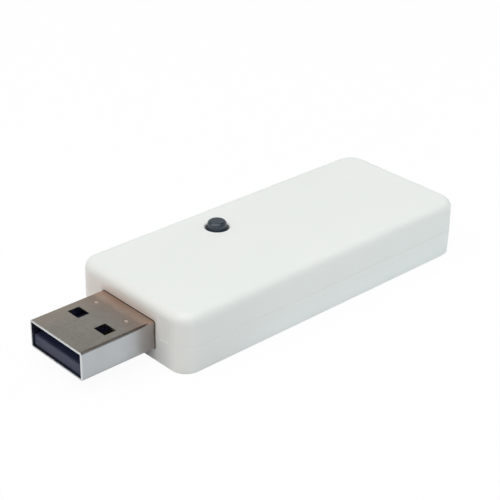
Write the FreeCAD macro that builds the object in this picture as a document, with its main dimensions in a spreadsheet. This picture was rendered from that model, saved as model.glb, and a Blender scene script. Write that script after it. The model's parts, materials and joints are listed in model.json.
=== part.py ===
import FreeCAD, Part
import os
from math import pi
import Sketcher
from FreeCAD import Vector

# A USB stick with a radio inside: a two-part moulded case, a USB-A plug at one end and a
# push button in the top. X runs from the plug's tip to the far end, Y across, Z up. The
# origin is the middle of the footprint, on the surface that the case lies on.

# Driving dimensions, in millimetres and degrees

SIZES = {
    # Case: a deeper top cover on a shallower bottom cover
    "case_length": 58.2,
    "case_width": 24.4,
    "case_height": 9.4,
    "parting_height": 4.4,
    "draft_angle": 1.0,
    "plug_corner_radius": 3.0,
    "far_corner_radius": 3.3,
    "top_edge_radius": 1.4,
    "bottom_edge_bevel": 0.25,
    "parting_bevel": 0.05,
    "case_wall": 1.2,
    "roof_thickness": 1.2,
    "floor_thickness": 1.2,
    "inner_corner_radius": 0.6,
    # Lip of the bottom cover, its rebate in the top cover and the snap beads
    "lip_height": 0.9,
    "lip_thickness": 0.5,
    "lip_clearance": 0.06,
    "bead_radius": 0.2,
    "bead_length": 4.0,
    "bead_spacing": 26.0,
    "bead_distance": 15.0,
    # Plug shell, folded from one sheet
    "plug_width": 12.0,
    "plug_height": 4.5,
    "plug_exposed": 12.7,
    "plug_inside": 6.0,
    "shell_thickness": 0.3,
    "shell_bend_radius": 0.4,
    "shell_rim_bevel": 0.08,
    "seam_width": 0.1,
    "seam_key_distance": 3.2,
    "seam_key_length": 2.0,
    "seam_key_reach": 0.8,
    "seam_key_flare": 0.3,
    "latch_hole_length": 2.0,
    "latch_hole_width": 2.5,
    "latch_hole_spacing": 6.1,
    "latch_hole_distance": 6.25,
    "dimple_diameter": 0.9,
    "dimple_depth": 0.1,
    "dimple_spacing": 6.9,
    "dimple_distance": 9.6,
    "leg_height": 1.5,
    "leg_reach": 2.3,
    "leg_width": 1.4,
    "leg_below_board": 0.5,
    # Plug insulator and its four contacts
    "tongue_thickness": 1.95,
    "tongue_recess": 0.35,
    "tongue_corner_radius": 0.3,
    "tongue_bevel": 0.15,
    "cavity_depth": 9.3,
    "insulator_clearance": 0.04,
    "contact_width": 1.0,
    "contact_thickness": 0.3,
    "contact_bevel": 0.12,
    "outer_contact_offset": 3.5,
    "inner_contact_offset": 1.0,
    "power_contact_setback": 1.9,
    "data_contact_setback": 2.9,
    "contact_tail": 1.9,
    # Seat of the plug in the case
    "plug_opening_gap": 0.1,
    "saddle_width": 1.2,
    "saddle_offset": 3.6,
    "stop_thickness": 0.9,
    "stop_gap": 0.1,
    "stop_clearance": 0.5,
    # Circuit board
    "board_thickness": 1.0,
    "board_edge_gap": 0.5,
    "board_ear_setback": 1.2,
    "board_corner_radius": 1.0,
    "board_notch_gap": 0.25,
    "board_hole_gap": 0.1,
    # Posts, pins and ledges that hold the board
    "post_side": 3.2,
    "pin_radius": 0.75,
    "pin_height": 1.5,
    "pin_clearance": 0.1,
    "post_offset": 8.2,
    "front_post_distance": 11.2,
    "rear_post_distance": 5.4,
    "ledge_thickness": 0.9,
    "ledge_reach": 1.3,
    "ledge_spacing": 10.0,
    "ledge_distance": 16.5,
    "board_play": 0.05,
    # Button and tactile switch
    "button_distance": 22.2,
    "button_offset": 6.1,
    "button_hole_diameter": 3.8,
    "button_hole_bevel": 0.15,
    "button_diameter": 3.1,
    "button_tip_diameter": 3.0,
    "button_edge_radius": 0.5,
    "button_proud": 1.0,
    "collar_thickness": 0.8,
    "collar_height": 0.5,
    "switch_side": 6.0,
    "switch_roof_gap": 0.3,
    "switch_well_diameter": 4.4,
    "switch_base_thickness": 1.0,
    "switch_plate_thickness": 0.2,
    "switch_plate_bevel": 0.4,
    "switch_peg_side": 0.7,
    "switch_peg_offset": 2.2,
    "switch_peg_height": 0.32,
    "switch_peg_clearance": 0.05,
    "flange_diameter": 3.8,
    "nub_diameter": 1.4,
    "nub_length": 0.6,
    "stem_clearance": 0.15,
    "dome_span": 4.0,
    "dome_rise": 0.4,
    "dome_thickness": 0.08,
    "dome_flat": 1.2,
    "dome_foot": 0.3,
    "dome_arm_width": 1.2,
    "touch_gap": 0.02,
    "terminal_thickness": 0.2,
    "terminal_width": 0.7,
    "terminal_offset": 2.25,
    "terminal_reach": 0.25,
    "terminal_below_board": 0.7,
    "tab_offset": 1.3,
    "tab_gap": 1.15,
    "strip_slack": 0.03,
    # Antenna and shield can, set out from the far end of the board
    "antenna_length": 8.0,
    "antenna_width": 2.4,
    "antenna_height": 1.1,
    "antenna_end": 0.6,
    "antenna_setback": 2.4,
    "shield_length": 16.0,
    "shield_width": 15.0,
    "shield_height": 2.2,
    "shield_sheet": 0.2,
    "shield_bend_radius": 0.4,
    "shield_setback": 7.8,
    "shield_vent_side": 0.9,
    "shield_vent_spacing": 2.4,
    "shield_notch_width": 1.6,
    "shield_notch_height": 0.5,
    "shield_notch_pitch": 4.5,
    # Chips with two wrapped ends, in three sizes
    "large_chip_length": 3.2,
    "large_chip_width": 1.6,
    "large_chip_height": 1.2,
    "large_chip_end": 0.5,
    "small_chip_length": 1.6,
    "small_chip_width": 0.8,
    "small_chip_height": 0.6,
    "small_chip_end": 0.3,
    "tiny_chip_length": 1.0,
    "tiny_chip_width": 0.5,
    "tiny_chip_height": 0.4,
    "tiny_chip_end": 0.25,
    "wrap_thickness": 0.03,
    # Packages
    "radio_chip_side": 6.0,
    "radio_chip_height": 0.9,
    "mark_diameter": 0.5,
    "mark_depth": 0.1,
    "mark_setback": 0.75,
    "package_standoff": 0.1,
    "lead_thickness": 0.15,
    "lead_knee": 0.3,
    "lead_width": 0.4,
    "memory_chip_length": 4.9,
    "memory_chip_width": 3.9,
    "memory_chip_height": 1.5,
    "memory_chip_reach": 1.05,
    "memory_pitch": 1.27,
    "surge_protector_length": 2.9,
    "surge_protector_width": 1.6,
    "surge_protector_height": 1.1,
    "surge_protector_reach": 0.6,
    "protector_pitch": 0.95,
    "voltage_regulator_length": 6.5,
    "voltage_regulator_width": 3.5,
    "voltage_regulator_height": 1.6,
    "voltage_regulator_reach": 1.6,
    "regulator_pitch": 2.3,
    "regulator_lead_width": 0.7,
    "regulator_tab_width": 3.0,
    "crystal_length": 3.2,
    "crystal_width": 2.5,
    "crystal_height": 0.8,
    "crystal_step": 0.3,
    "supply_coil_side": 3.0,
    "supply_coil_height": 1.3,
    "supply_coil_bevel": 0.2,
    # The run of board that the parts' places along it are given for: on another run they spread
    # or close up with it
    "layout_run": 47.4,
    # Supply parts, set out along the board from behind the plug
    "supply_gap": 0.8,
    "surge_protector_along": 1.6,
    "surge_protector_across": 0.0,
    "input_capacitor_along": 1.2,
    "input_capacitor_across": -4.2,
    "ferrite_bead_along": 1.2,
    "ferrite_bead_across": 4.2,
    "data_resistor_minus_along": 4.6,
    "data_resistor_minus_across": -1.0,
    "data_resistor_plus_along": 4.6,
    "data_resistor_plus_across": 1.0,
    "voltage_regulator_along": 8.4,
    "voltage_regulator_across": -5.0,
    "output_capacitor_along": 14.2,
    "output_capacitor_across": -5.0,
    "supply_coil_along": 18.2,
    "supply_coil_across": -4.0,
    "pull_up_resistor_across": 5.0,
    # Radio parts, set out about the middle of the shield can
    "radio_chip_along": -3.5,
    "radio_chip_across": 2.5,
    "memory_chip_along": 3.8,
    "memory_chip_across": 3.2,
    "crystal_along": -3.5,
    "crystal_across": -4.5,
    "crystal_capacitor_near_along": -6.2,
    "crystal_capacitor_near_across": -4.5,
    "crystal_capacitor_far_along": -0.8,
    "crystal_capacitor_far_across": -4.5,
    "bypass_capacitor_core_along": 2.0,
    "bypass_capacitor_core_across": -2.0,
    "bypass_capacitor_radio_along": 5.0,
    "bypass_capacitor_radio_across": -3.5,
    # Matching parts, set out about the antenna
    "matching_coil_along": -3.2,
    "matching_coil_across": 0.0,
    "matching_capacitor_near_along": -4.3,
    "matching_capacitor_near_across": 1.2,
    "matching_capacitor_far_along": -2.1,
    "matching_capacitor_far_across": -1.2,
}

# Counts of what repeats

BEAD_COUNT = 2
LEDGE_COUNT = 4
VENT_COUNT = 4
NOTCH_COUNT = 3
PROTECTOR_LEAD_COUNT = 3
MEMORY_LEAD_COUNT = 4
REGULATOR_LEAD_COUNT = 3

# How near two lengths are when they count as one, and the least volume a feature may change

CLOSE = 0.0001
LEAST_CHANGE = 0.000001

# Places worked out from the sizes

PLACES = {
    # Case
    "face_x": "(size.plug_exposed - size.case_length) / 2",
    "end_x": "face_x + size.case_length",
    "side_y": "size.case_width / 2",
    "ceiling_z": "size.case_height - size.roof_thickness",
    "inner_face_x": "face_x + size.case_wall",
    "inner_end_x": "end_x - size.case_wall",
    "inner_side_y": "side_y - size.case_wall",
    "inner_plug_radius": "max(size.plug_corner_radius - size.case_wall; size.inner_corner_radius)",
    "inner_far_radius": "max(size.far_corner_radius - size.case_wall; size.inner_corner_radius)",
    # Where ribs and posts are rooted inside the walls
    "roof_middle_z": "size.case_height - size.roof_thickness / 2",
    "floor_middle_z": "size.floor_thickness / 2",
    "face_wall_middle_x": "face_x + size.case_wall / 2",
    "rib_root_y": "inner_side_y + size.case_wall / 3",
    # Plug
    "tip_x": "face_x - size.plug_exposed",
    "shell_rear_x": "face_x + size.plug_inside",
    "shell_side_y": "size.plug_width / 2",
    "shell_top_z": "size.parting_height + size.plug_height / 2",
    "shell_bottom_z": "size.parting_height - size.plug_height / 2",
    "tongue_top_z": "shell_bottom_z + size.shell_thickness + size.tongue_thickness",
    "block_x": "tip_x + size.cavity_depth",
    "contact_bottom_z": "tongue_top_z - size.contact_thickness",
    "tongue_x": "tip_x + size.tongue_recess",
    "power_contact_x": "tip_x + size.power_contact_setback",
    "data_contact_x": "tip_x + size.data_contact_setback",
    "contact_end_x": "shell_rear_x + size.contact_tail",
    "seam_key_x": "tip_x + size.seam_key_distance",
    # Board: the contacts' tails lie on its top face
    "board_top_z": "contact_bottom_z",
    "board_bottom_z": "board_top_z - size.board_thickness",
    "board_front_x": "inner_face_x + size.board_ear_setback",
    "board_notch_x": "shell_rear_x + size.board_hole_gap",
    "board_rear_x": "inner_end_x - size.board_edge_gap",
    "board_side_y": "inner_side_y - size.board_edge_gap",
    "leg_start_x": "shell_rear_x + size.leg_reach - size.leg_width",
    "leg_end_x": "shell_rear_x + size.leg_reach",
    # Posts
    "front_post_x": "face_x + size.front_post_distance",
    "rear_post_x": "end_x - size.rear_post_distance",
    # Switch: it stands on the board, and its plate stops short of the collar under the roof
    "button_x": "face_x + size.button_distance",
    "plate_top_z": "ceiling_z - size.collar_height - size.switch_roof_gap",
    "switch_top_z": "plate_top_z - size.switch_plate_thickness",
    "well_floor_z": "board_top_z + size.switch_base_thickness",
    "dome_top_z": "well_floor_z + size.dome_rise",
    "nub_bottom_z": "dome_top_z + size.touch_gap",
    "flange_bottom_z": "nub_bottom_z + size.nub_length",
    "flange_top_z": "switch_top_z - size.touch_gap",
    "button_top_z": "size.case_height + size.button_proud",
    "terminal_run": "size.switch_side / 2 + size.terminal_reach",
    "terminal_leg_run": "terminal_run - size.terminal_thickness / 2",
    # Supply and radio parts
    "supply_x": "leg_end_x + size.supply_gap",
    "spread": "(board_rear_x - supply_x) / size.layout_run",
    "shield_run": "size.shield_length * spread",
    "shield_end_x": "board_rear_x - size.shield_setback",
    "shield_x": "shield_end_x - shield_run / 2",
    "switch_end_x": "button_x + terminal_run",
    "pull_up_resistor_x": "(switch_end_x + shield_end_x - shield_run) / 2",
    "antenna_x": "board_rear_x - size.antenna_setback",
}

doc = FreeCAD.newDocument("usb_wifi_stick")


def make_sheet(name, rows, prefix):
    """One aliased cell per row."""
    sheet = doc.addObject("Spreadsheet::Sheet", name)
    for row, (alias, content) in enumerate(rows.items(), start=1):
        sheet.set(f"A{row}", alias)
        sheet.set(f"B{row}", f"{prefix}{content}")
        sheet.setAlias(f"B{row}", alias)
    doc.recompute()
    return sheet


size = make_sheet("size", SIZES, "")
place = make_sheet("place", PLACES, "=")


def value(expression):
    """The number that an expression over the two sheets comes to."""
    return float(place.evalExpression(expression))


# Sketches

def new_body(name):
    body = doc.addObject("PartDesign::Body", name)
    body.Label = name
    return body


def origin_part(body, role):
    return next(part for part in body.Origin.OriginFeatures if part.Role == role)


def new_sketch(body, name, plane, offset="0"):
    """A sketch parallel to one of the body's own planes: XY looks up, YZ to +X, XZ to -Y."""
    sketch = body.newObject("Sketcher::SketchObject", f"{body.Name}_{name}_sketch")
    sketch.AttachmentSupport = [(origin_part(body, f"{plane}_Plane"), "")]
    sketch.MapMode = "FlatFace"
    sketch.setExpression("AttachmentOffset.Base.z", offset)
    doc.recompute()
    return sketch


def hold(sketch, kind, geometry, point, expression):
    """Hold a point's distance from the sketch's origin at an expression's value."""
    rule = Sketcher.Constraint(kind, -1, 1, geometry, point, value(expression))
    index = sketch.addConstraint(rule)
    sketch.setExpression(f"Constraints[{index}]", expression)


def add_polygon(sketch, corners):
    """A closed outline of straight edges; each corner is a pair of expressions."""
    points = [Vector(value(x), value(y)) for x, y in corners]
    first = sketch.GeometryCount
    count = len(points)
    for k in range(count):
        sketch.addGeometry(Part.LineSegment(points[k], points[(k + 1) % count]))
    for k in range(count):
        joint = Sketcher.Constraint("Coincident", first + k, 2, first + (k + 1) % count, 1)
        sketch.addConstraint(joint)
    for k, (x, y) in enumerate(corners):
        hold(sketch, "DistanceX", first + k, 1, x)
        hold(sketch, "DistanceY", first + k, 1, y)


def add_rectangle(sketch, left, right, low, high):
    add_polygon(sketch, [(left, low), (right, low), (right, high), (left, high)])


def add_circle(sketch, x, y, radius):
    circle = Part.Circle(Vector(value(x), value(y)), Vector(0, 0, 1), value(radius))
    index = sketch.addGeometry(circle)
    hold(sketch, "DistanceX", index, 3, x)
    hold(sketch, "DistanceY", index, 3, y)
    rule = sketch.addConstraint(Sketcher.Constraint("Radius", index, value(radius)))
    sketch.setExpression(f"Constraints[{rule}]", radius)


def add_outline(sketch, left, right, half, left_radius, right_radius, middle="0"):
    """A rectangle with rounded corners, as high each side of its middle."""
    x0, x1 = value(left), value(right)
    low, high = value(f"({middle}) - ({half})"), value(f"({middle}) + ({half})")
    radii = [right_radius, right_radius, left_radius, left_radius]
    ways = [(x1, low, -1, 1), (x1, high, -1, -1), (x0, high, 1, -1), (x0, low, 1, 1)]
    arcs = []
    for k, (x, y, inward_x, inward_y) in enumerate(ways):
        radius = value(radii[k])
        centre = Vector(x + inward_x * radius, y + inward_y * radius)
        circle = Part.Circle(centre, Vector(0, 0, 1), radius)
        arcs.append(Part.ArcOfCircle(circle, (k - 1) * pi / 2, k * pi / 2))
    first = sketch.GeometryCount
    for k, arc in enumerate(arcs):
        sketch.addGeometry(Part.LineSegment(arcs[k - 1].EndPoint, arc.StartPoint))
        sketch.addGeometry(arc)
    for k, radius in enumerate(radii):
        line, arc, following = first + 2 * k, first + 2 * k + 1, first + (2 * k + 2) % 8
        sketch.addConstraint(Sketcher.Constraint("Tangent", line, 2, arc, 1))
        sketch.addConstraint(Sketcher.Constraint("Tangent", arc, 2, following, 1))
        level = "Horizontal" if k % 2 == 0 else "Vertical"
        sketch.addConstraint(Sketcher.Constraint(level, line))
        rule = sketch.addConstraint(Sketcher.Constraint("Radius", arc, value(radius)))
        sketch.setExpression(f"Constraints[{rule}]", radius)
    hold(sketch, "DistanceY", first, 1, f"({middle}) - ({half})")
    hold(sketch, "DistanceX", first + 2, 1, right)
    hold(sketch, "DistanceY", first + 4, 1, f"({middle}) + ({half})")
    hold(sketch, "DistanceX", first + 6, 1, left)


# Features

def add_feature(body, kind, name, sketch, length, reverse=False, taper="0"):
    """A Pad along the sketch's normal or a Pocket against it, or the other way round."""
    before = body.Tip.Shape.Volume if body.Tip else 0.0
    feature = body.newObject(f"PartDesign::{kind}", f"{body.Name}_{name}")
    feature.Profile = sketch
    feature.Reversed = reverse
    feature.setExpression("Length", length)
    feature.setExpression("TaperAngle", taper)
    return settle(body, feature, before)


def settle(body, feature, before):
    """Recompute a feature and see that it did what its kind says."""
    body.Tip = feature
    doc.recompute()
    gained = feature.Shape.Volume - before
    cuts = feature.TypeId in ("PartDesign::Pocket", "PartDesign::SubtractiveSphere")
    if abs(gained) < LEAST_CHANGE or cuts == (gained > 0):
        raise RuntimeError(f"{feature.Name} changed the volume by {gained}")
    return feature


def pad(body, name, sketch, length, **options):
    return add_feature(body, "Pad", name, sketch, length, **options)


def pocket(body, name, sketch, length, **options):
    return add_feature(body, "Pocket", name, sketch, length, **options)


def soften(body, kind, name, amount, wanted):
    """A Fillet or a Chamfer on those edges of the body that the test wants."""
    base = body.Tip
    edges = [f"Edge{k}" for k, edge in enumerate(base.Shape.Edges, start=1) if wanted(edge)]
    feature = body.newObject(f"PartDesign::{kind}", f"{body.Name}_{name}")
    feature.Base = (base, edges)
    feature.setExpression("Radius" if kind == "Fillet" else "Size", amount)
    body.Tip = feature
    doc.recompute()
    return feature


def at_height(height):
    """A test for edges that lie level at a height."""
    level = value(height)
    return lambda edge: max(abs(edge.BoundBox.ZMin - level), abs(edge.BoundBox.ZMax - level)) < CLOSE


def upright(edge):
    box = edge.BoundBox
    return box.ZLength > CLOSE and max(box.XLength, box.YLength) < CLOSE


def mirror(body, name, features, plane):
    feature = body.newObject("PartDesign::Mirrored", f"{body.Name}_{name}")
    feature.Originals = features
    feature.MirrorPlane = (origin_part(body, f"{plane}_Plane"), [""])
    body.Tip = feature
    doc.recompute()
    return feature


def repeat(body, name, features, axis, spacing, count):
    feature = body.newObject("PartDesign::LinearPattern", f"{body.Name}_{name}")
    feature.Originals = features
    feature.Direction = (origin_part(body, f"{axis}_Axis"), [""])
    feature.Occurrences = count
    feature.setExpression("Length", f"({spacing}) * {count - 1}")
    body.Tip = feature
    doc.recompute()
    return feature


# Case

def case_outline(sketch):
    """The case seen from above at the parting line."""
    add_outline(sketch, "place.face_x", "place.end_x", "place.side_y",
                "size.plug_corner_radius", "size.far_corner_radius")


def inner_outline(sketch, spread="0"):
    """The inside of the wall at the parting line, spread outwards into the wall."""
    add_outline(sketch, f"place.inner_face_x - ({spread})", f"place.inner_end_x + ({spread})",
                f"place.inner_side_y + ({spread})",
                f"place.inner_plug_radius + ({spread})", f"place.inner_far_radius + ({spread})")


# The two locating pins stand at opposite corners of the board

PIN_SPOTS = [("place.front_post_x", "-size.post_offset"), ("place.rear_post_x", "size.post_offset")]


def pin_sketch(body, name, height, radius):
    """A circle over each locating pin."""
    sketch = new_sketch(body, name, "XY", height)
    for x, y in PIN_SPOTS:
        add_circle(sketch, x, y, radius)
    return sketch


def post_sketch(body, height):
    """A square about each locating pin."""
    sketch = new_sketch(body, "post", "XY", height)
    half = "size.post_side / 2"
    for x, y in PIN_SPOTS:
        add_rectangle(sketch, f"{x} - {half}", f"{x} + {half}", f"{y} - {half}", f"{y} + {half}")
    return sketch


def both_sides(sketch, left, right, low, high):
    """A rectangle and its mirror image across the middle plane."""
    add_rectangle(sketch, left, right, low, high)
    add_rectangle(sketch, left, right, f"-({high})", f"-({low})")


def saddle_ribs(sketch):
    """The two ribs that hold the plug's shell, from the end wall to the shell's rear."""
    both_sides(sketch, "place.face_wall_middle_x", "place.shell_rear_x - size.stop_gap",
               "size.saddle_offset - size.saddle_width / 2",
               "size.saddle_offset + size.saddle_width / 2")


def first_ledges(sketch, root):
    """The pair of ribs nearest the plug, one on each long side, that grip the board's edge."""
    both_sides(sketch, "place.face_x + size.ledge_distance - size.ledge_thickness / 2",
               "place.face_x + size.ledge_distance + size.ledge_thickness / 2",
               "place.inner_side_y - size.ledge_reach", root)


def case_half(body, depth, down):
    """One cover's outside: drafted away from the parting line."""
    outline = new_sketch(body, "outline", "XY", "size.parting_height")
    case_outline(outline)
    pad(body, "outside", outline, depth, reverse=down, taper="-size.draft_angle")
    soften(body, "Chamfer", "parting_edge", "size.parting_bevel", at_height("size.parting_height"))


def plug_opening(body):
    """The window in the end wall that the plug comes out of."""
    sketch = new_sketch(body, "window", "YZ", "place.face_x - size.case_wall")
    add_outline(sketch, "-place.shell_side_y - size.plug_opening_gap",
                "place.shell_side_y + size.plug_opening_gap",
                "size.plug_height / 2 + size.plug_opening_gap",
                "size.shell_bend_radius + size.plug_opening_gap",
                "size.shell_bend_radius + size.plug_opening_gap", middle="size.parting_height")
    pocket(body, "window", sketch, "3 * size.case_wall", reverse=True)


def add_beads(body, kind, clearance):
    """Snap beads along both long sides of the lip, or the grooves that they snap into."""
    length = f"(size.bead_length + 2 * ({clearance}))"
    sketch = new_sketch(body, "bead", "YZ", f"place.face_x + size.bead_distance - {length} / 2")
    middle = "size.parting_height + size.lip_height / 2"
    for side in ("", "-"):
        add_circle(sketch, f"{side}(place.inner_side_y + size.lip_thickness)", middle,
                   f"size.bead_radius + ({clearance})")
    bead = add_feature(body, kind, "bead", sketch, length, reverse=kind == "Pocket")
    repeat(body, "bead_row", [bead], "X", "size.bead_spacing", BEAD_COUNT)


def make_top_cover():
    body = new_body("top_cover")
    case_half(body, "size.case_height - size.parting_height", False)
    soften(body, "Fillet", "top_edge", "size.top_edge_radius", at_height("size.case_height"))

    inside = new_sketch(body, "inside", "XY", "size.parting_height")
    inner_outline(inside)
    pocket(body, "inside", inside, "place.ceiling_z - size.parting_height",
           reverse=True, taper="-size.draft_angle")
    rebate = new_sketch(body, "rebate", "XY", "size.parting_height")
    inner_outline(rebate, "size.lip_thickness + size.lip_clearance")
    pocket(body, "rebate", rebate, "size.lip_height + size.lip_clearance", reverse=True)
    add_beads(body, "Pocket", "size.lip_clearance")
    plug_opening(body)

    clamp = new_sketch(body, "clamp", "XY", "place.shell_top_z")
    saddle_ribs(clamp)
    pad(body, "clamp", clamp, "place.roof_middle_z - place.shell_top_z")
    over_contacts = "place.tongue_top_z + size.stop_clearance"
    stop = new_sketch(body, "stop", "XY", over_contacts)
    add_rectangle(stop, "place.shell_rear_x + size.stop_gap",
                  "place.shell_rear_x + size.stop_gap + size.stop_thickness",
                  "-size.saddle_offset - size.saddle_width", "size.saddle_offset + size.saddle_width")
    pad(body, "stop", stop, f"place.roof_middle_z - ({over_contacts})")

    on_board = "place.board_top_z + size.board_play"
    pad(body, "post", post_sketch(body, on_board), f"place.roof_middle_z - ({on_board})")
    bores = pin_sketch(body, "post_bore", on_board, "size.pin_radius + size.pin_clearance")
    pocket(body, "post_bore", bores, "size.pin_height + size.pin_clearance", reverse=True)
    fin = new_sketch(body, "fin", "XY", on_board)
    first_ledges(fin, "place.inner_side_y - 2 * size.lip_clearance")
    one_fin = pad(body, "fin", fin, f"place.roof_middle_z - ({on_board})")
    repeat(body, "fin_row", [one_fin], "X", "size.ledge_spacing", LEDGE_COUNT)

    collar = new_sketch(body, "collar", "XY", "place.ceiling_z - size.collar_height")
    add_circle(collar, "place.button_x", "size.button_offset",
               "size.button_hole_diameter / 2 + size.collar_thickness")
    pad(body, "collar", collar, "size.collar_height + size.roof_thickness / 2")
    hole = new_sketch(body, "button_hole", "XY", "size.case_height")
    add_circle(hole, "place.button_x", "size.button_offset", "size.button_hole_diameter / 2")
    pocket(body, "button_hole", hole, "size.roof_thickness + size.collar_height")
    rim = at_height("size.case_height")
    soften(body, "Chamfer", "button_hole_edge", "size.button_hole_bevel",
           lambda edge: rim(edge) and len(edge.Vertexes) == 1)
    return body


def make_bottom_cover():
    body = new_body("bottom_cover")
    case_half(body, "size.parting_height", True)
    soften(body, "Chamfer", "bottom_edge", "size.bottom_edge_bevel", at_height("0"))

    inside = new_sketch(body, "inside", "XY", "size.parting_height")
    inner_outline(inside)
    pocket(body, "inside", inside, "size.parting_height - size.floor_thickness",
           taper="-size.draft_angle")
    lip = new_sketch(body, "lip", "XY", "size.parting_height")
    inner_outline(lip)
    inner_outline(lip, "size.lip_thickness")
    pad(body, "lip", lip, "size.lip_height")
    add_beads(body, "Pad", "0")
    plug_opening(body)

    saddle = new_sketch(body, "saddle", "XY", "place.floor_middle_z")
    saddle_ribs(saddle)
    pad(body, "saddle", saddle, "place.shell_bottom_z - place.floor_middle_z")
    posts = post_sketch(body, "place.floor_middle_z")
    pad(body, "post", posts, "place.board_bottom_z - place.floor_middle_z")
    ledge = new_sketch(body, "ledge", "XY", "place.floor_middle_z")
    first_ledges(ledge, "place.rib_root_y")
    one_ledge = pad(body, "ledge", ledge, "place.board_bottom_z - place.floor_middle_z")
    repeat(body, "ledge_row", [one_ledge], "X", "size.ledge_spacing", LEDGE_COUNT)
    pins = pin_sketch(body, "pin", "place.board_bottom_z", "size.pin_radius")
    pad(body, "pin", pins, "size.board_thickness + size.pin_height")
    return body


# Plug

def shell_inside(sketch, clearance):
    """The inside of the folded shell, drawn in by a clearance."""
    half_width = f"place.shell_side_y - size.shell_thickness - ({clearance})"
    radius = "size.shell_bend_radius - size.shell_thickness"
    add_outline(sketch, f"-({half_width})", half_width,
                f"size.plug_height / 2 - size.shell_thickness - ({clearance})",
                radius, radius, middle="size.parting_height")


def seam_outline():
    """The slit where the folded sheet meets, with a dovetail that locks its two edges."""
    half = "size.seam_width / 2"
    start = "place.tip_x - size.seam_width"
    end = "place.shell_rear_x + size.seam_width"
    near, far = "place.seam_key_x", "(place.seam_key_x + size.seam_key_length)"
    flare, reach = "size.seam_key_flare", "size.seam_key_reach"
    return [(start, f"-{half}"), (f"{near} + {half}", f"-{half}"),
            (f"{near} - {flare} + {half}", f"{reach} - {half}"),
            (f"{far} + {flare} - {half}", f"{reach} - {half}"),
            (f"{far} - {half}", f"-{half}"), (end, f"-{half}"), (end, half),
            (f"{far} + {half}", half), (f"{far} + {flare} + {half}", f"{reach} + {half}"),
            (f"{near} - {flare} - {half}", f"{reach} + {half}"), (f"{near} - {half}", half),
            (start, half)]


def make_plug_shell():
    body = new_body("plug_shell")
    ring = new_sketch(body, "ring", "YZ", "place.tip_x")
    add_outline(ring, "-place.shell_side_y", "place.shell_side_y", "size.plug_height / 2",
                "size.shell_bend_radius", "size.shell_bend_radius", middle="size.parting_height")
    shell_inside(ring, "0")
    pad(body, "tube", ring, "size.plug_exposed + size.plug_inside")
    tip = value("place.tip_x")
    inside_y = value("place.shell_side_y - size.shell_thickness")
    inside_z = value("size.plug_height / 2 - size.shell_thickness")
    middle_z = value("size.parting_height")

    def on_outer_rim(edge):
        box = edge.BoundBox
        beside = max(abs(box.YMin), abs(box.YMax)) > inside_y + CLOSE
        beyond = max(abs(box.ZMin - middle_z), abs(box.ZMax - middle_z)) > inside_z + CLOSE
        return box.XMax < tip + CLOSE and (beside or beyond)

    soften(body, "Chamfer", "rim", "size.shell_rim_bevel", on_outer_rim)

    seam = new_sketch(body, "seam", "XY", "place.shell_bottom_z + 2 * size.shell_thickness")
    add_polygon(seam, seam_outline())
    pocket(body, "seam", seam, "3 * size.shell_thickness")

    holes = new_sketch(body, "latch_hole", "XY", "place.shell_top_z + size.shell_thickness")
    middle = "(place.tip_x + size.latch_hole_distance)"
    both_sides(holes, f"{middle} - size.latch_hole_length / 2",
               f"{middle} + size.latch_hole_length / 2",
               "(size.latch_hole_spacing - size.latch_hole_width) / 2",
               "(size.latch_hole_spacing + size.latch_hole_width) / 2")
    pocket(body, "latch_hole", holes, "size.plug_height + 2 * size.shell_thickness")
    before = body.Tip.Shape.Volume
    dimple = body.newObject("PartDesign::SubtractiveSphere", "plug_shell_dimple")
    radius = "((size.dimple_diameter / 2) ^ 2 + size.dimple_depth ^ 2) / (2 * size.dimple_depth)"
    dimple.setExpression("Radius", radius)
    dimple.setExpression("Placement.Base.x", "place.tip_x + size.dimple_distance")
    dimple.setExpression("Placement.Base.y", "size.dimple_spacing / 2")
    dimple.setExpression("Placement.Base.z", f"place.shell_top_z - size.dimple_depth + {radius}")
    settle(body, dimple, before)
    mirror(body, "dimple_pair", [dimple], "XZ")

    leg = new_sketch(body, "leg", "XZ", "place.shell_side_y")
    root = "place.shell_rear_x - size.shell_thickness"
    top = "place.board_top_z + size.leg_height"
    foot = "place.board_bottom_z - size.leg_below_board"
    add_polygon(leg, [(root, "place.board_top_z"), ("place.leg_start_x", "place.board_top_z"),
                      ("place.leg_start_x", foot), ("place.leg_end_x", foot),
                      ("place.leg_end_x", top), (root, top)])
    one_leg = pad(body, "leg", leg, "size.shell_thickness", reverse=True)
    mirror(body, "leg_pair", [one_leg], "XZ")
    return body


def contact_slots(body, name, start, offset):
    """Two channels in the insulator, as wide and high as the contacts that lie in them."""
    sketch = new_sketch(body, name, "YZ", start)
    half = "(size.contact_width / 2 + size.insulator_clearance)"
    for side in ("", "-"):
        add_rectangle(sketch, f"{side}{offset} - {half}", f"{side}{offset} + {half}",
                      "place.contact_bottom_z", "place.tongue_top_z + size.insulator_clearance")
    pocket(body, name, sketch, "size.plug_exposed + size.plug_inside", reverse=True)


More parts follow.
